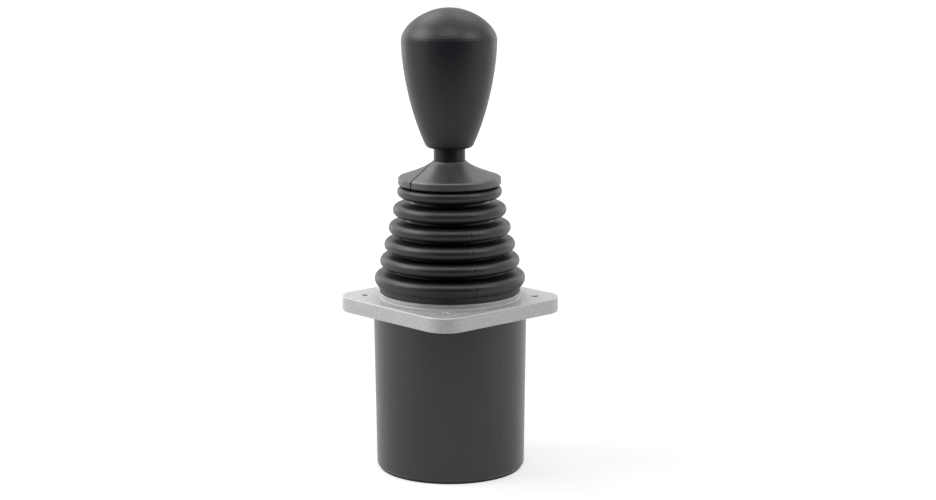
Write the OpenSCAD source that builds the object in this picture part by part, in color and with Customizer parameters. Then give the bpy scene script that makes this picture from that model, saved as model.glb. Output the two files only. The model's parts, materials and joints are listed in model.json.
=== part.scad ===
// Two-axis panel joystick: knob, split boot cap, rubber bellows, square mounting flange and housing pot,
// with the gimbal, its centring springs, the travel gate and the magnetic sensor board inside.
// Millimetres, +Z up. The origin is at the centre of the pot's bottom. The flange's sides lie along X and Y.

/* [Mounting flange] */
// Side of the square flange
flange_w = 80; // [76:1:90]
// Thickness of the flange
flange_t = 7; // [6:0.1:8]
// Height of the flange's top face above the pot's bottom
flange_top = 83.2; // [83:0.1:90]
// Radius of the flange's corners
flange_corner_r = 12.2; // [10:0.1:13]
// Chamfer round the flange's edges
flange_chamfer = 0.35; // [0.2:0.05:0.8]
// Distance between the mounting holes, along X and along Y
hole_spacing = 57; // [56:1:60]
// Diameter of the mounting holes
hole_d = 3.4; // [3.2:0.1:4.5]
// Height of the round collar that the boot stands on
collar_h = 2.5; // [2:0.05:3]
// Radius of the collar
collar_r = 33.3; // [33:0.1:34]
// Radius of the opening that the lever swings in
opening_r = 22; // [21:0.5:24]

/* [Housing pot] */
// Outside radius at the top
pot_top_r = 36.4; // [36:0.1:38]
// Outside radius at the bottom, smaller for the mould's draft
pot_bottom_r = 35.4; // [35:0.1:36]
// Thickness of the wall
pot_wall = 3; // [2.5:0.1:3]
// Radius of the pot's rounded bottom edge
pot_round = 1.3; // [0.5:0.1:1.6]

/* [Bottom plate] */
// Outside radius of the bottom plate's rim
plate_r = 34.3; // [34:0.1:34.6]
// Thickness of the plate's rim, which shows below the pot
plate_t = 1.2; // [1:0.1:2]
// Radius of the well round the connector
well_r = 15; // [12:0.5:16]
// Depth of the well
well_depth = 11; // [9:0.5:12]

/* [Boot] */
// Wall thickness of the bellows
boot_wall = 1.2; // [0.8:0.1:1.4]
// Outside radius of each fold, from the lowest to the highest
fold_r = [35.8, 33.15, 31.05, 28.95, 26.9, 24.8]; // [20:0.05:40]
// Height of the middle of each fold, from the lowest to the highest
fold_z = [92.3, 100.55, 108.35, 116.45, 124.95, 133.7]; // [85:0.05:140]
// Radius of a fold's rounded nose
nose_r = 3; // [2.4:0.1:3.1]
// Depth of the grooves between the folds
groove_depth = 6.5; // [5:0.1:7]
// Outside radius of the cuff at the boot's foot
cuff_r = 33.5; // [33.4:0.1:34]

/* [Cap and neck] */
// Radius of the split cap's rim
cap_r = 24.4; // [24:0.1:25]
// Height of the cap's lower face
cap_z = 137.1; // [137.1:0.1:137.6]
// Height at which the cap's cone meets the neck
cap_top_z = 148.2; // [147:0.1:150]
// Width of the slit in the cap
slit_w = 0.7; // [0.4:0.1:1.2]
// Turn of the slit away from the radius, so that it meets the bore on its side
slit_turn = 17.5; // [0:0.5:18]
// Radius of the neck sleeve
neck_r = 7.5; // [7:0.1:8]

/* [Knob] */
// Largest radius of the knob
knob_r = 22.5; // [20:0.1:24]
// Height of the knob's widest place
knob_wide_z = 205; // [200:0.1:206]
// Height of the knob's top
knob_top_z = 220; // [216:0.1:224]
// Height of the knob's lower face
knob_z = 154.4; // [153:0.1:155]
// Radius of the knob just above its rounded lower edge
knob_foot_r = 11.5; // [11:0.1:14]

/* [Gimbal] */
// Height of the point that the lever tilts about
pivot_z = 57; // [56.5:0.1:57.5]
// Outside width of the gimbal ring
ring_w = 36; // [35.5:0.1:36]
// Inside width of the gimbal ring
ring_inner_w = 27; // [26.5:0.1:27]
// Height of the gimbal ring
ring_h = 10; // [9:0.1:10]
// Radius of the pivot pins
pin_r = 2.5; // [2:0.1:2.6]
// Radial clearance of the pins in their bushes
running_gap = 0.03; // [0.02:0.01:0.06]
// Half width of the square hole in the travel gate
gate_half = 9.8; // [9.6:0.1:11]

/* [Hidden] */
$fn = 96;
// Cutting bodies run this far past the faces they cut.
cut = 1;

// Heights, from the bottom up
well_ceiling_t = 2.4;
floor_z = 3.2;
boss_z = 6;
board_z = 26.5;
board_t = 1.6;
board_top = board_z + board_t;
header_size = [12, 7, 4];
header_z = board_z - header_size[2];
gate_z = 42.5;
gate_t = 3;
gate_top = gate_z + gate_t;
frame_z = 72.2;
flange_z = flange_top - flange_t;
frame_t = flange_z - frame_z;
gasket_t = 0.8;
gasket_recess = 0.3;
pot_top = flange_z + gasket_recess - gasket_t;
collar_top = flange_top + collar_h;

// Radial play between pieces that are pushed over each other and then clamped
fit_gap = 0.05;

// Base
spigot_r = pot_top_r - pot_wall - 0.2;
spigot_h = 3;
frame_r = 30;
frame_opening_r = 19;
pillar_pitch = 40;
pillar_r = 3.2;
stud_r = 1.4;
thread_r = 1.45;
screw_hole_r = 1.6;
hex_r = 5.5 / 2 / cos(30);
head_r = 2.75;
head_h = 2.9;
frame_screw_at = [12, 24.5];
lug_x = 24.5;
lug_t = 5.5;
lug_half = 7;
bush_r = 3.5;
bush_flange_r = 5;
bush_flange_t = 0.8;

// Boot foot, clamp ring and top
lip_t = 1.2;
lip_r = 30.9;
clamp_inner_r = 27;
clamp_top = collar_top + 3.6;
clamp_screw_r = 29;
fold_sweep = 78;
foot_fold_r = 4.5;
top_nose_r = 2.5;
boot_seat_r = 21.5;
boot_top_t = 1.5;
washer_t = 2;
washer_r = 18;

// Lever
shaft_r = 5;
shank_r = 6;
tip_r = 4;
tip_z = 34.5;
block_w = 15;
block_h = 14;
shank_z = pivot_z + 11;
sleeve_flange_r = 10;
sleeve_seat_z = cap_z - boot_top_t - washer_t;
sleeve_z = sleeve_seat_z - 2.2;
insert_r = 7.5;
insert_top = 175;
magnet_z = 32.2;
holder_r = 6;
holder_top = 37.5;
pin_end = 19.8;
clip_t = 0.6;
clip_at = ring_w / 2 + 0.1;
clip_groove_r = pin_r - 0.5;

// Centring springs: a coil round the pivot axis, whose two legs hold a tab on each of the two parts
wire_r = 0.5;
coil_r = 4.5;
coil_turns = 3.5;
coil_run = 4;
leg_h = 6.7;
tab_half = coil_r - wire_r - 0.05;
tab_low = coil_r + wire_r + 0.5;
tab_high = 8;

// Connector
shell_r = 6;
insert_face_r = 4.9;
shell_z = 2;
shell_back = 18.4;
contact_circle_r = 2.75;

// ---- Shared shapes -------------------------------------------------------------------------------

function arc(centre, r, from, to, steps) =
    [for (i = [0:steps]) let (a = from + (to - from) * i / steps) centre + r * [cos(a), sin(a)]];

function bezier(a, b, c, d, steps) =
    [for (i = [0:steps])
        let (t = i / steps, s = 1 - t) s * s * s * a + 3 * s * s * t * b + 3 * s * t * t * c + t * t * t * d];

function reversed(list) = [for (i = [len(list) - 1:-1:0]) list[i]];

module at_corners(pitch) {
    for (x = [-1, 1], y = [-1, 1])
        translate([x * pitch / 2, y * pitch / 2, 0]) children();
}

// Turns what stands on +Z to lie along +X.
module along_x() {
    rotate([0, 90, 0]) children();
}

// Turns what lies along +X to lie along +Y.
module x_to_y() {
    rotate([0, 0, 90]) children();
}

module tube(r_out, r_in, h) {
    rotate_extrude() translate([r_in, 0]) square([r_out - r_in, h]);
}

module rounded_square(w, r) {
    square([w, w - 2 * r], center = true);
    square([w - 2 * r, w], center = true);
    for (x = [-1, 1], y = [-1, 1])
        translate([x, y] * (w / 2 - r)) circle(r);
}

// A square plate with round corners and a chamfer round its top and bottom edges.
module chamfered_plate(w, corner, t, chamfer) {
    half = w / 2;
    for (turn = [0, 90])
        rotate([90, 0, turn])
            linear_extrude(w - 2 * corner, center = true)
                polygon([[chamfer - half, 0], [half - chamfer, 0], [half, chamfer], [half, t - chamfer],
                         [half - chamfer, t], [chamfer - half, t], [-half, t - chamfer], [-half, chamfer]]);
    at_corners(w - 2 * corner)
        rotate_extrude()
            polygon([[0, 0], [corner - chamfer, 0], [corner, chamfer], [corner, t - chamfer],
                     [corner - chamfer, t], [0, t]]);
}

// A cap screw with its head's upper face at z = 0, standing on +Z with the shank going up from the head.
module cap_screw(length, shank = stud_r, head = head_r, height = head_h) {
    difference() {
        cylinder(r = head, h = height);
        translate([0, 0, -cut]) cylinder(r = head * 0.5, h = height / 2 + cut, $fn = 6);
    }
    translate([0, 0, height]) cylinder(r = shank, h = length);
}

// A flanged sleeve bearing along +Z, its flange at the bottom.
module flanged_bush(length) {
    rotate_extrude()
        polygon([[pin_r + running_gap, 0], [bush_flange_r, 0], [bush_flange_r, bush_flange_t],
                 [bush_r, bush_flange_t], [bush_r, bush_flange_t + length],
                 [pin_r + running_gap, bush_flange_t + length]]);
}

// A double-legged torsion spring round the X axis. Its coil starts at x = start.
// Each leg goes up from the coil and then runs along the axis beside the two tabs.
module centring_spring(start) {
    far = start + coil_run;
    corner = 1;
    steps = ceil(coil_turns * 16);
    sides = 6;
    leg_a = [[far, coil_r, leg_h], [start + corner, coil_r, leg_h],
             [start + corner * 0.3, coil_r, leg_h - corner * 0.3], [start, coil_r, leg_h - corner]];
    coil = [for (i = [0:steps])
                let (turn = -360 * coil_turns * i / steps)
                    [start + coil_run * i / steps, coil_r * cos(turn), coil_r * sin(turn)]];
    leg_b = [[far, -coil_r, leg_h - corner], [far - corner * 0.3, -coil_r, leg_h - corner * 0.3],
             [far - corner, -coil_r, leg_h], [start, -coil_r, leg_h]];
    path = concat(leg_a, coil, leg_b);
    last = len(path) - 1;
    outward = concat([for (p = leg_a) [0, 1, 0]],
                     [for (p = coil) [0, p[1], p[2]] / coil_r],
                     [for (p = leg_b) [0, -1, 0]]);
    points = [for (i = [0:last])
                 let (ahead = path[min(i + 1, last)] - path[max(i - 1, 0)],
                      side = cross(ahead / norm(ahead), outward[i]))
                     for (k = [0:sides - 1]) let (turn = 360 * k / sides)
                         path[i] + wire_r * (cos(turn) * outward[i] + sin(turn) * side)];
    walls = [for (i = [0:last - 1], k = [0:sides - 1])
                let (n = (k + 1) % sides)
                    [i * sides + k, i * sides + n, (i + 1) * sides + n, (i + 1) * sides + k]];
    ends = [[for (k = [sides - 1:-1:0]) k], [for (k = [0:sides - 1]) last * sides + k]];
    polyhedron(points, concat(walls, ends));
}

// ---- Base: flange, pot and boot ------------------------------------------------------------------

module mounting_flange() {
    blend = 0.5;
    edge = 0.3;
    color("silver") difference() {
        union() {
            translate([0, 0, flange_z])
                chamfered_plate(flange_w, flange_corner_r, flange_t, flange_chamfer);
            rotate_extrude()
                polygon(concat([[0, flange_top - cut], [collar_r + blend, flange_top - cut]],
                               reversed(arc([collar_r + blend, flange_top + blend], blend, 180, 270, 6)),
                               [[collar_r, collar_top - edge], [collar_r - edge, collar_top],
                                [0, collar_top]]));
            translate([0, 0, flange_z - spigot_h]) cylinder(r = spigot_r, h = spigot_h + cut);
        }
        translate([0, 0, flange_z - spigot_h - cut]) cylinder(r = opening_r, h = 30);
        translate([0, 0, flange_z - spigot_h - cut]) cylinder(r = frame_r + 0.2, h = spigot_h + cut);
        translate([0, 0, flange_z - cut]) tube(pot_top_r + 0.2, spigot_r, gasket_recess + cut);
        at_corners(hole_spacing) mounting_hole();
        for (x = [-1, 1], y = [-1, 1])
            translate([x * frame_screw_at[0], y * frame_screw_at[1], flange_z - cut])
                cylinder(r = thread_r, h = 4.5 + cut);
        for (a = [45:90:315])
            rotate(a) translate([clamp_screw_r, 0, collar_top - 5]) cylinder(r = 1.05, h = 5 + cut);
    }
}

module mounting_hole() {
    rim = 0.3;
    translate([0, 0, flange_z - cut]) cylinder(d = hole_d, h = flange_t + 2 * cut);
    translate([0, 0, flange_top - rim]) cylinder(d1 = hole_d, d2 = hole_d + 4 * rim, h = 2 * rim);
    translate([0, 0, flange_z - rim]) cylinder(d1 = hole_d + 4 * rim, d2 = hole_d, h = 2 * rim);
}

module housing_pot() {
    color("dimgray") rotate_extrude()
        polygon(concat([[pot_bottom_r - pot_wall, plate_t]],
                       arc([pot_bottom_r - pot_round, plate_t + pot_round], pot_round, -90, 0, 4),
                       [[pot_top_r, pot_top], [pot_top_r - pot_wall, pot_top]]));
}

// The plate closes the pot from below, and its well holds the connector clear of the surface it stands on.
module bottom_plate() {
    well_top = well_depth + well_ceiling_t;
    spigot = pot_bottom_r - pot_wall - 0.1;
    color("#1c1d1e") difference() {
        union() {
            rotate_extrude()
                polygon([[well_r, 0], [plate_r - 0.3, 0], [plate_r, 0.3], [plate_r, plate_t],
                         [spigot, plate_t], [spigot, floor_z], [well_r + 3, floor_z], [well_r + 2.7, well_top],
                         [shell_r, well_top], [shell_r, well_depth], [well_r - 0.3, well_depth]]);
            at_corners(pillar_pitch) translate([0, 0, plate_t]) cylinder(r = 3.9, h = boss_z - plate_t);
        }
        at_corners(pillar_pitch) {
            translate([0, 0, -cut]) cylinder(r = screw_hole_r, h = boss_z + 2 * cut);
            translate([0, 0, -cut]) cylinder(r = head_r + 0.4, h = head_h + 0.3 + cut);
        }
    }
}

module pot_gasket() {
    color("black") translate([0, 0, pot_top])
        tube(pot_top_r - 0.2, spigot_r + fit_gap, gasket_t);
}

// One fold's nose in section, `inset` mm inside its outer face.
function fold(i, low_r, high_r, low_sweep, high_sweep, inset) =
    concat(arc([fold_r[i] - low_r, fold_z[i]], low_r - inset, -low_sweep, 0, 6),
           arc([fold_r[i] - high_r, fold_z[i]], high_r - inset, 0, high_sweep, 6));

// The groove between fold i and the fold above it.
function groove(i, inset) =
    let (r = (fold_z[i + 1] - fold_z[i]) / 2 - nose_r,
         centre = [fold_r[i + 1] - groove_depth + r, (fold_z[i] + fold_z[i + 1]) / 2])
        arc(centre, r + inset, 180 + fold_sweep, 180 - fold_sweep, 6);

// The bellows in section from the lowest fold to the highest, `inset` mm inside its outer face.
function bellows(inset) =
    let (top = len(fold_r) - 1)
        concat([for (i = [0:top - 1])
                    each concat(fold(i, i == 0 ? foot_fold_r : nose_r, nose_r,
                                     i == 0 ? 60 : fold_sweep, fold_sweep, inset),
                                groove(i, inset))],
               fold(top, nose_r, top_nose_r, fold_sweep, 90, inset));

module boot() {
    bore_r = neck_r + fit_gap;
    color("#26282a") rotate_extrude()
        polygon(concat([[lip_r, collar_top], [cuff_r - 0.4, collar_top], [cuff_r, collar_top + 0.4],
                        [cuff_r, fold_z[0] - 4.2]],
                       bellows(0),
                       [[boot_seat_r, fold_z[5] + top_nose_r], [boot_seat_r, cap_z], [bore_r, cap_z],
                        [bore_r, cap_z - boot_top_t], [boot_seat_r - 1, cap_z - boot_top_t]],
                       reversed(bellows(boot_wall)),
                       [[cuff_r - boot_wall, fold_z[0] - 3.7], [cuff_r - boot_wall, collar_top + lip_t],
                        [lip_r, collar_top + lip_t]]));
}

module boot_clamp_ring() {
    color("gainsboro") difference() {
        rotate_extrude()
            polygon([[clamp_inner_r, collar_top], [lip_r - 0.1, collar_top],
                     [lip_r - 0.1, collar_top + lip_t], [cuff_r - boot_wall - 0.2, collar_top + lip_t],
                     [cuff_r - boot_wall - 0.2, clamp_top - 0.6], [cuff_r - boot_wall - 0.8, clamp_top],
                     [clamp_inner_r, clamp_top]]);
        for (a = [45:90:315])
            rotate(a) translate([clamp_screw_r, 0, collar_top - cut]) cylinder(r = 1.2, h = 8);
    }
}

module clamp_screws() {
    head = 1.3;
    color("lightgray")
        for (a = [45:90:315])
            rotate(a) translate([clamp_screw_r, 0, clamp_top + head])
                mirror([0, 0, 1]) cap_screw(7, 1, 1.9, head);
}

// ---- Base: frame, gate and bearings --------------------------------------------------------------

module gimbal_frame() {
    color("slategray") difference() {
        union() {
            translate([0, 0, frame_z]) cylinder(r = frame_r, h = frame_t);
            at_corners(pillar_pitch)
                translate([0, 0, gate_top]) cylinder(r = pillar_r, h = frame_z - gate_top + 1);
            for (side = [0, 180]) rotate(side) {
                translate([lug_x, -lug_half, pivot_z]) cube([lug_t, 2 * lug_half, frame_z - pivot_z + 1]);
                translate([lug_x, 0, pivot_z]) along_x() cylinder(r = lug_half, h = lug_t);
            }
            translate([lug_x - 3.2, -tab_half, pivot_z + tab_low])
                cube([3.2 + cut, 2 * tab_half, tab_high - tab_low]);
        }
        translate([0, 0, frame_z - cut]) cylinder(r = frame_opening_r, h = frame_t + 2 * cut);
        for (side = [0, 180])
            rotate(side) translate([lug_x - cut, 0, pivot_z]) along_x()
                cylinder(r = bush_r, h = lug_t + 2 * cut);
        at_corners(pillar_pitch) translate([0, 0, gate_top - cut]) cylinder(r = thread_r, h = 8 + cut);
        for (x = [-1, 1], y = [-1, 1])
            translate([x * frame_screw_at[0], y * frame_screw_at[1], frame_z - cut])
                cylinder(r = screw_hole_r, h = frame_t + 2 * cut);
    }
}

module frame_screws() {
    color("lightgray")
        for (x = [-1, 1], y = [-1, 1])
            translate([x * frame_screw_at[0], y * frame_screw_at[1], frame_z - head_h])
                cap_screw(frame_t + 4);
}

module x_bushes() {
    color("peru")
        for (side = [0, 180])
            rotate(side) translate([lug_x - bush_flange_t, 0, pivot_z]) along_x() flanged_bush(lug_t);
}

module x_spring() {
    color("silver") translate([0, 0, pivot_z]) centring_spring(ring_w / 2 + 0.9);
}

module travel_gate() {
    gate_w = 48;
    color("darkgray") translate([0, 0, gate_z]) difference() {
        linear_extrude(gate_t) difference() {
            rounded_square(gate_w, 5);
            rounded_square(2 * gate_half, 3);
        }
        at_corners(pillar_pitch) translate([0, 0, -cut]) cylinder(r = screw_hole_r, h = gate_t + 2 * cut);
    }
}

// A hexagonal standoff from z = 0 to z = h, with a stud on top and a threaded hole below.
module standoff(h, stud) {
    difference() {
        cylinder(r = hex_r, h = h, $fn = 6);
        translate([0, 0, -cut]) cylinder(r = thread_r, h = 8 + cut);
    }
    translate([0, 0, h]) cylinder(r = stud_r, h = stud);
}

module upper_standoffs() {
    color("goldenrod") at_corners(pillar_pitch)
        translate([0, 0, board_top]) standoff(gate_z - board_top, 8);
}

module lower_standoffs() {
    color("goldenrod") at_corners(pillar_pitch)
        translate([0, 0, boss_z]) standoff(board_z - boss_z, 6.5);
}

module plate_screws() {
    color("lightgray") at_corners(pillar_pitch)
        translate([0, 0, 0.3]) cap_screw(9);
}

// ---- Base: sensor board and connector ------------------------------------------------------------

module sensor_board() {
    color("darkgreen") translate([0, 0, board_z]) difference() {
        cylinder(r = frame_r, h = board_t);
        at_corners(pillar_pitch) translate([0, 0, -cut]) cylinder(r = screw_hole_r, h = board_t + 2 * cut);
        for (side = [0, 180])
            rotate(side) translate([frame_r, 0, -cut]) cylinder(r = 3, h = board_t + 2 * cut);
    }
}

// A flat chip on the board with a row of leads along two sides.
module chip(w, h, leads) {
    translate([-w / 2, -w / 2, 0.1]) cube([w, w, h - 0.1]);
    for (side = [0, 180], i = [0:leads - 1])
        rotate(side) translate([w / 2 - 0.1, (i - (leads - 1) / 2) * 1.27 - 0.2, 0]) cube([0.9, 0.4, h / 2]);
}

module hall_sensor() {
    color("#202020") translate([0, 0, board_top]) chip(5, 1.6, 4);
}

module board_chips() {
    color("#202020") translate([0, 0, board_top]) {
        translate([-17, 3, 0]) chip(6, 1.8, 4);
        translate([16, -4, 0]) chip(5, 1.8, 3);
        translate([2, 20, 0]) cylinder(r = 2.5, h = 3);
        translate([-6, -19, 0]) cylinder(r = 2, h = 2.5);
    }
}

module wire_header() {
    color("ivory") translate([-header_size[0] / 2, -header_size[1] / 2, header_z]) cube(header_size);
}

module signal_wires() {
    color("gold")
        for (a = [45:90:315])
            rotate(a) translate([contact_circle_r, 0, shell_back]) cylinder(r = 0.6, h = header_z - shell_back);
}

module connector_shell() {
    seat = 2;
    color("lightgray") rotate_extrude()
        polygon([[insert_face_r, shell_z], [shell_r - 0.5, shell_z], [shell_r, shell_z + 0.5],
                 [shell_r, well_depth - seat], [shell_r + 2, well_depth - seat], [shell_r + 2, well_depth],
                 [shell_r, well_depth], [shell_r, shell_back], [insert_face_r, shell_back]]);
}

module connector_nut() {
    color("lightgray") translate([0, 0, well_depth + well_ceiling_t]) difference() {
        cylinder(r = 9, h = 2.8, $fn = 6);
        translate([0, 0, -cut]) cylinder(r = shell_r, h = 5);
    }
}

module connector_insert() {
    color("#202020") difference() {
        translate([0, 0, shell_z + 0.4]) cylinder(r = insert_face_r, h = shell_back - shell_z - 0.4);
        for (a = [45:90:315])
            rotate(a) translate([contact_circle_r, 0, shell_z]) cylinder(r = 0.55, h = 7);
        translate([0, 0, shell_z]) cylinder(r = 0.55, h = 7);
        translate([insert_face_r, 0, shell_z]) cylinder(r = 0.6, h = 4);
    }
}

// ---- Gimbal --------------------------------------------------------------------------------------

// The ear on top of one wall of the ring. Its tip reaches `reach` mm past the wall's face, clear of the coil.
module ring_ear(inner, outer, from, to) {
    foot = ring_h / 2 - 0.5;
    translate([inner, -tab_half, foot]) cube([outer - inner, 2 * tab_half, tab_high - foot]);
    translate([from, -tab_half, tab_low]) cube([to - from, 2 * tab_half, tab_high - tab_low]);
}

module gimbal_ring() {
    half = ring_w / 2;
    inner = ring_inner_w / 2;
    color("lightsteelblue") translate([0, 0, pivot_z]) difference() {
        union() {
            translate([0, 0, -ring_h / 2]) linear_extrude(ring_h) difference() {
                rounded_square(ring_w, 6);
                rounded_square(ring_inner_w, 3);
            }
            ring_ear(inner + 0.5, half, half - 1, half + 2.8);
            x_to_y() ring_ear(inner, half - 0.5, inner - 2.5, inner + 1);
        }
        for (side = [0, 180]) {
            rotate(side) translate([inner - cut, 0, 0]) along_x() cylinder(r = pin_r, h = 8);
            rotate(side + 90) translate([inner - cut, 0, 0]) along_x() cylinder(r = bush_r, h = 8);
        }
    }
}

module x_pins() {
    inner = ring_inner_w / 2;
    end = lug_x + lug_t + 0.5;
    color("silver")
        for (side = [0, 180])
            rotate(side) translate([0, 0, pivot_z]) along_x() rotate_extrude()
                polygon([[0, inner], [pin_r, inner], [pin_r, end - 0.4], [pin_r - 0.4, end], [0, end]]);
}

module x_spacer() {
    color("gainsboro") translate([-ring_w / 2, 0, pivot_z]) rotate([0, -90, 0])
        tube(4.4, pin_r, lug_x - bush_flange_t - ring_w / 2 - 0.1);
}

module y_bushes() {
    inner = ring_inner_w / 2;
    color("peru")
        for (side = [90, 270])
            rotate(side) translate([inner - bush_flange_t, 0, pivot_z]) along_x()
                flanged_bush(ring_w / 2 - inner);
}

module y_spring() {
    color("silver") translate([0, 0, pivot_z]) x_to_y() centring_spring(block_w / 2 + 0.6);
}

// ---- Lever ---------------------------------------------------------------------------------------

module pivot_block() {
    color("lightslategray") translate([0, 0, pivot_z]) difference() {
        union() {
            translate([0, 0, -block_h / 2]) linear_extrude(block_h) rounded_square(block_w, 2);
            translate([-tab_half, block_w / 2 - 1, tab_low]) cube([2 * tab_half, 3.5, tab_high - tab_low]);
        }
        translate([0, 0, -block_h]) cylinder(r = shaft_r + fit_gap, h = 2 * block_h);
        translate([0, -block_w, 0]) rotate([-90, 0, 0]) cylinder(r = pin_r, h = 2 * block_w);
    }
}

module y_pin() {
    groove_end = clip_at + clip_t;
    half = concat([[pin_r, clip_at], [clip_groove_r, clip_at], [clip_groove_r, groove_end],
                   [pin_r, groove_end], [pin_r, pin_end - 0.3], [pin_r - 0.3, pin_end], [0, pin_end]]);
    mirrored = [for (p = reversed(half)) [p[0], -p[1]]];
    color("silver") translate([0, 0, pivot_z]) rotate([-90, 0, 0])
        rotate_extrude() polygon(concat(mirrored, half));
}

module y_spacer() {
    color("gainsboro") translate([0, -block_w / 2, pivot_z]) rotate([90, 0, 0])
        tube(4.4, pin_r, (ring_inner_w - block_w) / 2 - bush_flange_t - 0.1);
}

module pin_clips() {
    color("darkslategray")
        for (side = [90, 270])
            rotate(side) translate([clip_at, 0, pivot_z]) along_x() difference() {
                tube(4.2, clip_groove_r, clip_t);
                translate([0, -1.4, -cut]) cube([6, 2.8, clip_t + 2 * cut]);
            }
}

module lever_shaft() {
    top = insert_top - 1;
    block_z = pivot_z - block_h / 2;
    color("silver") difference() {
        rotate_extrude()
            polygon([[0, tip_z], [tip_r, tip_z], [tip_r, block_z], [shaft_r, block_z],
                     [shaft_r, shank_z - 1], [shank_r, shank_z], [shank_r, sleeve_z], [shaft_r, sleeve_z],
                     [shaft_r, top - 1], [shaft_r - 1, top], [0, top]]);
        translate([0, -block_w, pivot_z]) rotate([-90, 0, 0])
            cylinder(r = pin_r + fit_gap, h = 2 * block_w);
    }
}

module magnet_holder() {
    bore_r = tip_r + fit_gap;
    color("ivory") rotate_extrude()
        polygon([[bore_r, magnet_z - 0.2], [holder_r - 0.5, magnet_z - 0.2], [holder_r, magnet_z + 0.3],
                 [holder_r, holder_top - 1.5], [holder_r - 1, holder_top], [bore_r, holder_top]]);
}

module magnet() {
    color("lightgray") translate([0, 0, magnet_z]) cylinder(r = tip_r, h = tip_z - magnet_z);
}

module neck_sleeve() {
    color("#26282a") rotate_extrude()
        polygon([[shaft_r + fit_gap, sleeve_z], [sleeve_flange_r, sleeve_z], [sleeve_flange_r, sleeve_seat_z],
                 [neck_r, sleeve_seat_z], [neck_r, knob_z], [shaft_r + fit_gap, knob_z]]);
}

module boot_washer() {
    color("lightgray") translate([0, 0, sleeve_seat_z]) tube(washer_r, neck_r + fit_gap, washer_t);
}

module boot_cap() {
    rim_round = 1.5;
    rim_sweep = 72;
    shoulder = [cap_r - rim_round, cap_z + 2.4];
    rim_end = shoulder + rim_round * [cos(rim_sweep), sin(rim_sweep)];
    cone_top = [neck_r + 0.3, cap_top_z];
    color("#3a3c3e") difference() {
        rotate_extrude()
            polygon(concat([[neck_r + fit_gap, cap_z], [cap_r - 0.3, cap_z], [cap_r, cap_z + 0.3]],
                           arc(shoulder, rim_round, 0, rim_sweep, 8),
                           bezier(rim_end, rim_end + 7 * [-sin(rim_sweep), cos(rim_sweep)],
                                  cone_top + [2.3, -2.6], cone_top, 12),
                           [[neck_r + fit_gap, cap_top_z]]));
        translate([0, -cap_r, cap_z - cut]) rotate(slit_turn)
            translate([-slit_w / 2, -cut, 0])
                cube([slit_w, cap_r * cos(slit_turn) + cut, cap_top_z - cap_z + 2 * cut]);
    }
}

module knob_insert() {
    bore_r = shaft_r + fit_gap;
    color("goldenrod") rotate_extrude()
        polygon([[bore_r, knob_z], [insert_r, knob_z], [insert_r, knob_z + 9], [insert_r - 1, knob_z + 10],
                 [insert_r - 1, knob_z + 12], [insert_r, knob_z + 13], [insert_r, insert_top],
                 [bore_r, insert_top]]);
}

module knob() {
    foot_round = 2.6;
    foot_lean = 24.5;
    foot = [knob_foot_r - foot_round * cos(foot_lean), knob_z + foot_round];
    foot_end = foot + foot_round * [cos(foot_lean), -sin(foot_lean)];
    lean = [sin(foot_lean), cos(foot_lean)];
    wide = [knob_r, knob_wide_z];
    color("#2b2f33") rotate_extrude()
        polygon(concat([[insert_r, knob_z]],
                       arc(foot, foot_round, -90, -foot_lean, 8),
                       bezier(foot_end, foot_end + 18 * lean, wide - [0, 12], wide, 20),
                       bezier(wide, wide + [0, 6], [12.4, knob_top_z], [0, knob_top_z], 16),
                       [[0, insert_top + 0.5], [insert_r, insert_top + 0.5], [insert_r, insert_top],
                        [insert_r, knob_z + 13], [insert_r - 1, knob_z + 12], [insert_r - 1, knob_z + 10],
                        [insert_r, knob_z + 9]]));
}

mounting_flange();
housing_pot();
bottom_plate();
pot_gasket();
boot();
boot_clamp_ring();
clamp_screws();
gimbal_frame();
frame_screws();
x_bushes();
x_spring();
travel_gate();
upper_standoffs();
sensor_board();
hall_sensor();
board_chips();
wire_header();
signal_wires();
lower_standoffs();
plate_screws();
connector_shell();
connector_nut();
connector_insert();
gimbal_ring();
x_pins();
x_spacer();
y_bushes();
y_spring();
pivot_block();
y_pin();
y_spacer();
pin_clips();
lever_shaft();
magnet_holder();
magnet();
neck_sleeve();
boot_washer();
boot_cap();
knob_insert();
knob();
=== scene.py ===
"""Looks of a two-axis panel joystick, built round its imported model. Sizes are in metres."""

import json
import math

import bpy
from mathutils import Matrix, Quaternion, Vector


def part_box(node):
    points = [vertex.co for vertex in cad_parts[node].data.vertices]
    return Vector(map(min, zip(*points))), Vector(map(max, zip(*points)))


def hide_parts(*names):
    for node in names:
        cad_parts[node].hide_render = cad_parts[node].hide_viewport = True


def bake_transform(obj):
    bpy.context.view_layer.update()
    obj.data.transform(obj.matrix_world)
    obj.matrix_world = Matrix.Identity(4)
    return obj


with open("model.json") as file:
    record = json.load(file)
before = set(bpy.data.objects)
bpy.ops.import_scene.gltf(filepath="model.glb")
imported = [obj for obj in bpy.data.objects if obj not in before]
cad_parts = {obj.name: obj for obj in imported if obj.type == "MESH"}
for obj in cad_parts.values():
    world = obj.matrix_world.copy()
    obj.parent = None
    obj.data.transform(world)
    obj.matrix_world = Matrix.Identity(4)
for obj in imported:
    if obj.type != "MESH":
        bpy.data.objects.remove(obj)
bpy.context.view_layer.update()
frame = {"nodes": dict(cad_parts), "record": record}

MM = 0.001

# ---- Small helpers -------------------------------------------------------------------------------


def linear(hex_colour):
    """An sRGB hex colour such as "#26282a" as linear red, green, blue and alpha."""
    parts = [int(hex_colour[i:i + 2], 16) / 255 for i in (1, 3, 5)]
    return [c / 12.92 if c <= 0.04045 else ((c + 0.055) / 1.055) ** 2.4 for c in parts] + [1.0]


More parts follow.
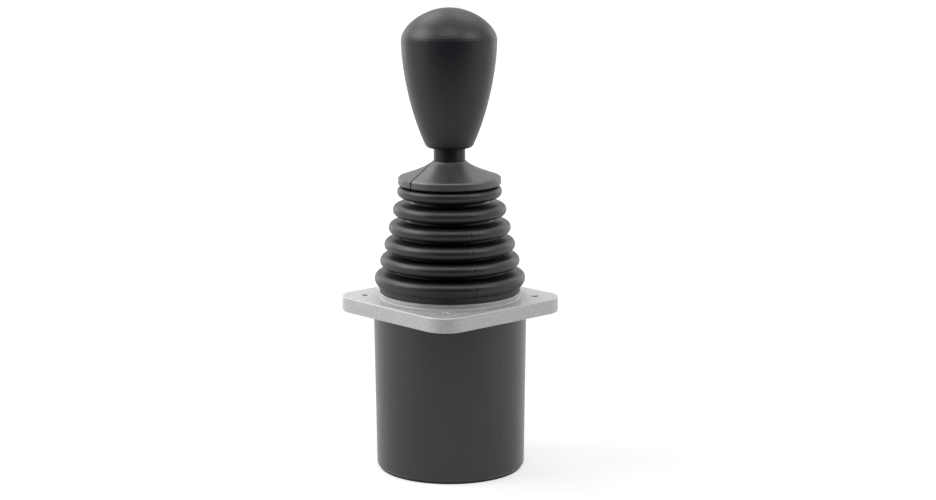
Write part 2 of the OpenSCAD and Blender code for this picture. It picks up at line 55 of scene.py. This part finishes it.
def add_node(tree, kind, inputs=None, **settings):
    """Adds a node, makes its settings, and gives its inputs a value or a link from another node's output."""
    made = tree.nodes.new(kind)
    for name, value in settings.items():
        setattr(made, name, value)
    for key, value in (inputs or {}).items():
        if isinstance(value, bpy.types.NodeSocket):
            tree.links.new(value, made.inputs[key])
        else:
            made.inputs[key].default_value = value
    return made


def new_material(name, **sockets):
    """A material with one Principled BSDF, whose uniform values are named for its sockets.

    Returns the material, its tree and its shader.
    """
    material = bpy.data.materials.new(name)
    material.use_nodes = True
    tree = material.node_tree
    shader = tree.nodes["Principled BSDF"]
    for socket, value in sockets.items():
        shader.inputs[socket.replace("_", " ")].default_value = value
    return material, tree, shader


def apply_modifier(obj, kind, **settings):
    """Adds a modifier to a piece and applies it."""
    bpy.ops.object.select_all(action="DESELECT")
    obj.select_set(True)
    bpy.context.view_layer.objects.active = obj
    modifier = obj.modifiers.new(kind.lower(), kind)
    for name, value in settings.items():
        setattr(modifier, name, value)
    bpy.ops.object.modifier_apply(modifier=modifier.name)


# ---- Camera, light and floor ---------------------------------------------------------------------

AIM_HEIGHT = 0.10525
CAMERA_DISTANCE = 1.008
CAMERA_AZIMUTH = math.radians(47.9)
CAMERA_ELEVATION = math.radians(10.64)
CAMERA_ROLL = math.radians(-0.22)
LENS_LENGTH = 81.64
LENS_SHIFT = 0.0194
SENSOR_WIDTH = 36

AMBIENT = 0.3
FLOOR_RADIUS = 3
FLOOR_GLOW_NEAR = 0.64
NEAR_DISTANCE = 0.2
FAR_DISTANCE = 1.2

CARD_WIDTH = 1.2
CARD_HEIGHT = 0.5
CARD_DISTANCE = 0.42
CARD_CENTRE_HEIGHT = 0.26


def towards(azimuth, elevation):
    """A direction away from the object. Azimuth 0 is in front, along -Y, and both angles are in radians."""
    level = math.cos(elevation)
    return Vector((math.sin(azimuth) * level, -math.cos(azimuth) * level, math.sin(elevation)))


def make_camera():
    back = towards(CAMERA_AZIMUTH, CAMERA_ELEVATION)
    data = bpy.data.cameras.new("camera")
    data.lens = LENS_LENGTH
    data.sensor_width = SENSOR_WIDTH
    data.shift_x = LENS_SHIFT
    camera = bpy.data.objects.new("camera", data)
    camera.location = Vector((0, 0, AIM_HEIGHT)) + CAMERA_DISTANCE * back
    level = (-back).to_track_quat("-Z", "Y")
    camera.rotation_euler = (level @ Quaternion((0, 0, 1), CAMERA_ROLL)).to_euler()
    bpy.context.scene.collection.objects.link(camera)
    bpy.context.scene.camera = camera


def soft_box(name, turn, elevation, distance, width, height, strength):
    """A rectangular soft light facing the object, turned that many degrees to the right of the camera."""
    direction = towards(CAMERA_AZIMUTH + math.radians(turn), math.radians(elevation))
    data = bpy.data.lights.new(name, "AREA")
    data.shape = "RECTANGLE"
    data.size = width
    data.size_y = height
    data.energy = strength * width * height * math.pi
    light = bpy.data.objects.new(name, data)
    light.location = Vector((0, 0, AIM_HEIGHT)) + distance * direction
    light.rotation_euler = (-direction).to_track_quat("-Z", "Y").to_euler()
    light.visible_camera = False
    bpy.context.scene.collection.objects.link(light)


def background_rays(tree):
    """1 for the rays that show a background: those of the camera, of gloss and of glass."""
    path = add_node(tree, "ShaderNodeLightPath")
    seen = add_node(tree, "ShaderNodeMath",
                    {0: path.outputs["Is Camera Ray"], 1: path.outputs["Is Glossy Ray"]}, operation="MAXIMUM")
    every = add_node(tree, "ShaderNodeMath",
                     {0: seen.outputs[0], 1: path.outputs["Is Transmission Ray"]}, operation="MAXIMUM")
    return every.outputs[0]


def make_world():
    """White wherever it is seen, and a weak even light on the object."""
    world = bpy.data.worlds.new("white studio")
    world.use_nodes = True
    tree = world.node_tree
    background = tree.nodes["Background"]
    background.inputs["Color"].default_value = linear("#ffffff")
    strength = add_node(tree, "ShaderNodeMapRange",
                        {"Value": background_rays(tree), "To Min": AMBIENT, "To Max": 1.0})
    tree.links.new(strength.outputs["Result"], background.inputs["Strength"])
    bpy.context.scene.world = world


def make_floor():
    """White paper that keeps the object's shadow, with a glow that rises to full white further out."""
    bpy.ops.mesh.primitive_circle_add(vertices=64, radius=FLOOR_RADIUS, fill_type="NGON")
    floor = bpy.context.object
    floor.name = "studio_floor"
    material = bpy.data.materials.new("white paper sweep")
    material.use_nodes = True
    tree = material.node_tree
    tree.nodes.remove(tree.nodes["Principled BSDF"])
    paper = add_node(tree, "ShaderNodeBsdfDiffuse", {"Color": linear("#a8a8a8")})
    point = add_node(tree, "ShaderNodeTexCoord").outputs["Object"]
    away = add_node(tree, "ShaderNodeVectorMath", {0: point}, operation="LENGTH")
    spread = add_node(tree, "ShaderNodeMapRange",
                      {"Value": away.outputs["Value"], "From Min": NEAR_DISTANCE, "From Max": FAR_DISTANCE,
                       "To Min": FLOOR_GLOW_NEAR, "To Max": 1.0})
    lift = add_node(tree, "ShaderNodeMath", {0: background_rays(tree), 1: spread.outputs["Result"]},
                    operation="MULTIPLY")
    glow = add_node(tree, "ShaderNodeEmission", {"Strength": lift.outputs[0]})
    both = add_node(tree, "ShaderNodeAddShader", {0: paper.outputs[0], 1: glow.outputs[0]})
    tree.links.new(both.outputs[0], tree.nodes["Material Output"].inputs["Surface"])
    floor.data.materials.append(material)


def dark_card():
    """A black card before the object, as the unlit side of a studio is: it shows in gloss and to no camera."""
    bpy.ops.mesh.primitive_plane_add(size=1)
    card = bpy.context.object
    card.name = "dark_card"
    across = towards(CAMERA_AZIMUTH, 0)
    card.scale = (CARD_WIDTH, CARD_HEIGHT, 1)
    card.location = across * CARD_DISTANCE + Vector((0, 0, CARD_CENTRE_HEIGHT))
    card.rotation_euler = across.to_track_quat("Z", "Y").to_euler()
    card.data.materials.append(new_material("black card", Base_Color=linear("#202020"), Roughness=0.9)[0])
    card.visible_camera = False
    card.visible_shadow = False


make_camera()
make_world()
make_floor()
soft_box("left_box", turn=-86, elevation=41, distance=1.1, width=0.85, height=0.65, strength=5.2)
soft_box("right_box", turn=64, elevation=43, distance=1.1, width=0.5, height=0.45, strength=4.6)
soft_box("top_box", turn=0, elevation=64, distance=1.1, width=0.5, height=0.5, strength=3.2)
soft_box("back_left_box", turn=-150, elevation=52, distance=1.1, width=0.45, height=0.45, strength=3.4)
soft_box("back_right_box", turn=155, elevation=56, distance=1.1, width=0.45, height=0.45, strength=1.8)
soft_box("left_strip", turn=-140, elevation=6, distance=1.2, width=0.5, height=0.9, strength=1.6)
soft_box("right_strip", turn=140, elevation=6, distance=1.2, width=0.5, height=0.9, strength=1.2)
dark_card()

# ---- Materials -----------------------------------------------------------------------------------
# A grain is the size of its specks and their detail. The real grit of these surfaces, about a tenth of a
# millimetre, is too fine to show in the render, so it is drawn five to nine times as coarse. The mottle of a
# moulding has its real size.

MOULD_MOTTLE = (3 * MM, 4.0)
BLASTED_GRAIN = (0.9 * MM, 3.0)
POLISH_GRAIN = (0.6 * MM, 3.0)
SKIN_DETAIL = 2.0


def grained(name, roughness_range, height, mottle, skin, tints=None, **sockets):
    """A material whose mottle varies its gloss and its colour, and whose skin is raised by up to `height`."""
    material, tree, shader = new_material(name, **sockets)
    point = add_node(tree, "ShaderNodeTexCoord").outputs["Object"]
    patches, specks = [add_node(tree, "ShaderNodeTexNoise",
                                {"Vector": point, "Scale": 1 / size, "Detail": detail}).outputs["Fac"]
                       for size, detail in (mottle, skin)]
    gloss = add_node(tree, "ShaderNodeMapRange",
                     {"Value": patches, "From Min": 0.3, "From Max": 0.7,
                      "To Min": roughness_range[0], "To Max": roughness_range[1]})
    relief = add_node(tree, "ShaderNodeBump", {"Height": specks, "Distance": height})
    tree.links.new(gloss.outputs["Result"], shader.inputs["Roughness"])
    tree.links.new(relief.outputs["Normal"], shader.inputs["Normal"])
    if tints:
        dark, light = tints
        colour = add_node(tree, "ShaderNodeMix", {"Factor": patches, "A": linear(dark), "B": linear(light)},
                          data_type="RGBA")
        tree.links.new(colour.outputs["Result"], shader.inputs["Base Color"])
    return material


def eroded_plastic(name, dark, light, roughness, grain, height, **sockets):
    """Moulded plastic with a spark-eroded skin: satin, with a soft broken edge to every highlight."""
    return grained(name, (roughness - 0.03, roughness + 0.03), height, MOULD_MOTTLE, (grain, SKIN_DETAIL),
                   (dark, light), **sockets)


def plain_metal(name, colour, roughness):
    """Bright metal with slight blotches in its polish."""
    return grained(name, (roughness - 0.05, roughness + 0.07), 0.006 * MM, POLISH_GRAIN, POLISH_GRAIN,
                   Base_Color=linear(colour), Metallic=1.0)


def soft_touch_knob():
    # Soft-touch thermoplastic, moulded: near black with a cold cast, and broad dull highlights.
    return eroded_plastic("soft-touch moulded thermoplastic", "#0c0d13", "#13141c", 0.42, 0.8 * MM, 0.04 * MM,
                          Specular_IOR_Level=0.42)


def neck_plastic():
    # Turned acetal: black and smooth, with less shine than the mouldings.
    return eroded_plastic("turned black acetal", "#121518", "#181b1e", 0.38, 0.5 * MM, 0.01 * MM,
                          Specular_IOR_Level=0.3)


def cap_plastic():
    # Moulded glass-filled nylon: dark grey, satin, with two soft highlights on the cone.
    return eroded_plastic("moulded glass-filled nylon", "#222324", "#323335", 0.44, 0.8 * MM, 0.04 * MM,
                          Specular_IOR_Level=1.0)


def pot_plastic():
    # Moulded polycarbonate blend: an even charcoal that turns light where it is seen edge on.
    return eroded_plastic("moulded polycarbonate blend", "#161718", "#202122", 0.33, 0.9 * MM, 0.03 * MM,
                          Specular_IOR_Level=0.58)


def plate_plastic():
    # Moulded ABS: a dull black, made darker than the pot as painted shade, so that the plate's rim
    # shows as the thin dark line of shade under the pot's foot.
    return eroded_plastic("moulded black abs and painted foot shade", "#0a0a0b", "#0f0f10", 0.5, 0.5 * MM, 0.01 * MM)


def boot_rubber():
    # Compression-moulded EPDM: dull black with a soft line of light along each fold.
    return eroded_plastic("moulded epdm rubber", "#0a0a0b", "#121213", 0.43, 0.9 * MM, 0.04 * MM,
                          Specular_IOR_Level=0.5)


def anodised_aluminium():
    # Bead-blasted and clear-anodised aluminium: pale grey and finely grained, with a thin glassy coat.
    return grained("blasted clear-anodised aluminium", (0.62, 0.78), 0.05 * MM, BLASTED_GRAIN, BLASTED_GRAIN,
                   ("#949494", "#cecece"), Metallic=1.0, Coat_Weight=0.4, Coat_Roughness=0.1)


# The plate's black is partly painted shade at the pot's foot; the insert and the chip take it as their plain
# black.
BLACK_ABS_AND_FOOT_SHADE = plate_plastic()
BLACK_RUBBER = boot_rubber()

MATERIALS = {
    "knob_plastic": soft_touch_knob(),
    "sleeve_plastic": neck_plastic(),
    "cap_plastic": cap_plastic(),
    "pot_plastic": pot_plastic(),
    "plate_plastic": BLACK_ABS_AND_FOOT_SHADE,
    "insert_plastic": BLACK_ABS_AND_FOOT_SHADE,
    "chip_epoxy": BLACK_ABS_AND_FOOT_SHADE,
    "boot_rubber": BLACK_RUBBER,
    "gasket_rubber": BLACK_RUBBER,
    "flange_aluminium": anodised_aluminium(),
    # Castings: a soft pewter grey, rubbed bright in the tumbling barrel.
    "frame_alloy": plain_metal("tumbled zinc alloy", "#a9abad", 0.42),
    # Plated screws, pins and shaft: a clean, slightly cool shine.
    "steel": plain_metal("zinc-plated steel", "#b9bbbd", 0.3),
    # Bare spring wire: darker than the plating and sharply lit along the coils.
    "spring_steel": plain_metal("drawn spring wire", "#8f9194", 0.25),
    # Phosphated clips: almost black, with a dull metal gleam.
    "clip_steel": plain_metal("phosphated spring steel", "#35363a", 0.45),
    # The knob's insert and the standoffs: warm yellow, turned smooth.
    "insert_brass": plain_metal("turned brass", "#c9a45a", 0.3),
    "standoff_brass": plain_metal("turned brass rod", "#c7a665", 0.28),
    # Sintered bushes: brown and dull, because the metal is porous.
    "bearing_bronze": plain_metal("sintered bronze", "#a27646", 0.5),
    # Nickel: a warm white mirror, brightest on the magnet.
    "connector_nickel": plain_metal("nickel plate", "#bdb9ae", 0.2),
    "magnet_nickel": plain_metal("bright nickel plate", "#c0beb8", 0.16),
    # Uncoloured nylon: a milky cream, satin.
    "spacer_nylon": eroded_plastic("natural nylon", "#cfcabb", "#ddd9cc", 0.45, 0.6 * MM, 0.01 * MM),
    # Solder mask: deep green and glossy.
    "board_laminate": eroded_plastic("green solder mask", "#0f4a24", "#14572c", 0.3, 1.5 * MM, 0.01 * MM),
    # Extruded wire sleeves: a mustard yellow with a soft shine.
    "wire_insulation": eroded_plastic("yellow pvc", "#c49a1c", "#d0a626", 0.4, 0.5 * MM, 0.005 * MM),
}


def dress_cad_nodes():
    slots = {part["node"]: part["material_slot"] for part in frame["record"]["subparts"]}
    for name, obj in frame["nodes"].items():
        obj.data.materials.clear()
        obj.data.materials.append(MATERIALS[slots[name]])


dress_cad_nodes()

# ---- The bellows ---------------------------------------------------------------------------------
# The sizes are those of the imported boot, in millimetres. Two moulded halves meet in the groove between the
# second and the third fold.

FOLD_RADII = [35.8, 33.15, 31.05, 28.95, 26.9, 24.8]
FOLD_HEIGHTS = [92.3, 100.55, 108.35, 116.45, 124.95, 133.7]
NOSE_RADIUS = 3.0
NOSE_SWEEP = 78
TOP_NOSE_RADIUS = 2.5
TOP_NOSE_SWEEP = 90
FOOT_RADIUS = 4.5
FOOT_SWEEP = 60
GROOVE_DEPTH = 6.5
CUFF_RADIUS = 33.5
CUFF_ROUND = 0.5
CUFF_TOP_DROP = 4.2
LIP_RADIUS = 30.9
SEAT_RADIUS = 21.5
SEAT_STEP = 0.4
NECK_HOLE_RADIUS = 8.0
WALL = 1.2

SIDES = 192
NOSE_STEPS = 8
GROOVE_STEPS = 5
CORNER_STEPS = 4
MERGE_DISTANCE = 0.002
SMOOTH_ANGLE = math.radians(50)

PARTING_ANGLE = math.radians(-22.6)
PARTING_HALF_WIDTH = 0.3
PARTING_LIFT = 0.14


def arc(centre, radius, start, end, steps):
    """Points in section on an arc, its angles in degrees from the outward direction."""
    angles = [math.radians(start + (end - start) * i / steps) for i in range(steps + 1)]
    return [(centre[0] + radius * math.cos(a), centre[1] + radius * math.sin(a)) for a in angles]


def fold_section(i):
    """The rounded nose of fold i, from its lower flank to its upper one."""
    last = len(FOLD_RADII) - 1
    low_radius, low_sweep = (FOOT_RADIUS, FOOT_SWEEP) if i == 0 else (NOSE_RADIUS, NOSE_SWEEP)
    high_radius, high_sweep = (TOP_NOSE_RADIUS, TOP_NOSE_SWEEP) if i == last else (NOSE_RADIUS, NOSE_SWEEP)
    low = arc((FOLD_RADII[i] - low_radius, FOLD_HEIGHTS[i]), low_radius, -low_sweep, 0, NOSE_STEPS)
    high = arc((FOLD_RADII[i] - high_radius, FOLD_HEIGHTS[i]), high_radius, 0, high_sweep, NOSE_STEPS)
    return low + high[1:]


def groove_section(i):
    """The groove between fold i and the next, in two halves that meet at its floor."""
    radius = (FOLD_HEIGHTS[i + 1] - FOLD_HEIGHTS[i]) / 2 - NOSE_RADIUS
    centre = (FOLD_RADII[i + 1] - GROOVE_DEPTH + radius, (FOLD_HEIGHTS[i] + FOLD_HEIGHTS[i + 1]) / 2)
    return (arc(centre, radius, 180 + NOSE_SWEEP, 180, GROOVE_STEPS),
            arc(centre, radius, 180, 180 - NOSE_SWEEP, GROOVE_STEPS))


def folds_section(first, last):
    """Folds first to last with their grooves, each end cut at the floor of its groove where it has one."""
    section = groove_section(first - 1)[1] if first > 0 else []
    for i in range(first, last):
        low, high = groove_section(i)
        section += fold_section(i) + low + high[1:]
    section += fold_section(last)
    return section + (groove_section(last)[0] if last < len(FOLD_RADII) - 1 else [])


def boot_foot():
    """The clamped lip and the upright cuff that stand on the flange's collar."""
    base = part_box("boot")[0].z / MM
    corner = arc((CUFF_RADIUS - CUFF_ROUND, base + CUFF_ROUND), CUFF_ROUND, -90, 0, CORNER_STEPS)
    return [(LIP_RADIUS, base)] + corner + [(CUFF_RADIUS, FOLD_HEIGHTS[0] - CUFF_TOP_DROP)]


def boot_top():
    """The flat top that is clamped between the washer and the cap."""
    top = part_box("boot")[1].z / MM
    return [(SEAT_RADIUS, FOLD_HEIGHTS[-1] + TOP_NOSE_RADIUS), (SEAT_RADIUS - SEAT_STEP, top),
            (NECK_HOLE_RADIUS, top)]


def add_parting_line():
    """Cuts three lines side by side down both sides of the sheet and lifts the middle one as mould flash."""
    across = (-math.sin(PARTING_ANGLE), math.cos(PARTING_ANGLE), 0)
    for offset in (-PARTING_HALF_WIDTH, PARTING_HALF_WIDTH, 0.0):
        bpy.ops.mesh.select_all(action="SELECT")
        place = tuple(offset * MM * part for part in across)
        bpy.ops.mesh.bisect(plane_co=place, plane_no=across)
    bpy.ops.transform.shrink_fatten(value=PARTING_LIFT * MM)


def boot_half(name, section):
    """Draws a circle up a section, ring by ring, and gives the sheet its thickness."""
    rings = [(r * MM, z * MM) for r, z in section]
    bpy.ops.object.select_all(action="DESELECT")
    bpy.ops.mesh.primitive_circle_add(vertices=SIDES, radius=rings[0][0], location=(0, 0, rings[0][1]))
    half = bpy.context.object
    half.name = name
    bpy.ops.object.transform_apply(location=True)
    bpy.ops.object.mode_set(mode="EDIT")
    bpy.ops.mesh.select_all(action="SELECT")
    for (r, z), (next_r, next_z) in zip(rings, rings[1:]):
        bpy.ops.mesh.extrude_region_move(TRANSFORM_OT_translate={"value": (0, 0, next_z - z)})
        bpy.ops.transform.resize(value=(next_r / r, next_r / r, 1), center_override=(0, 0, next_z))
    add_parting_line()
    bpy.ops.mesh.select_all(action="SELECT")
    bpy.ops.mesh.remove_doubles(threshold=MERGE_DISTANCE * MM)
    bpy.ops.mesh.normals_make_consistent(inside=False)
    bpy.ops.object.mode_set(mode="OBJECT")
    apply_modifier(half, "SOLIDIFY", thickness=WALL * MM, offset=-1)
    bpy.ops.object.shade_smooth_by_angle(angle=SMOOTH_ANGLE)
    half.data.materials.append(MATERIALS["boot_rubber"])
    return half


lower = boot_half("boot_lower_folds", boot_foot() + folds_section(0, 1))
upper = boot_half("boot_upper_folds", folds_section(2, 5) + boot_top())
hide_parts("boot")
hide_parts("boot")
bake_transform(lower)
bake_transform(upper)

# ---- The end -------------------------------------------------------------------------------------

bpy.context.scene.view_settings.view_transform = "Standard"
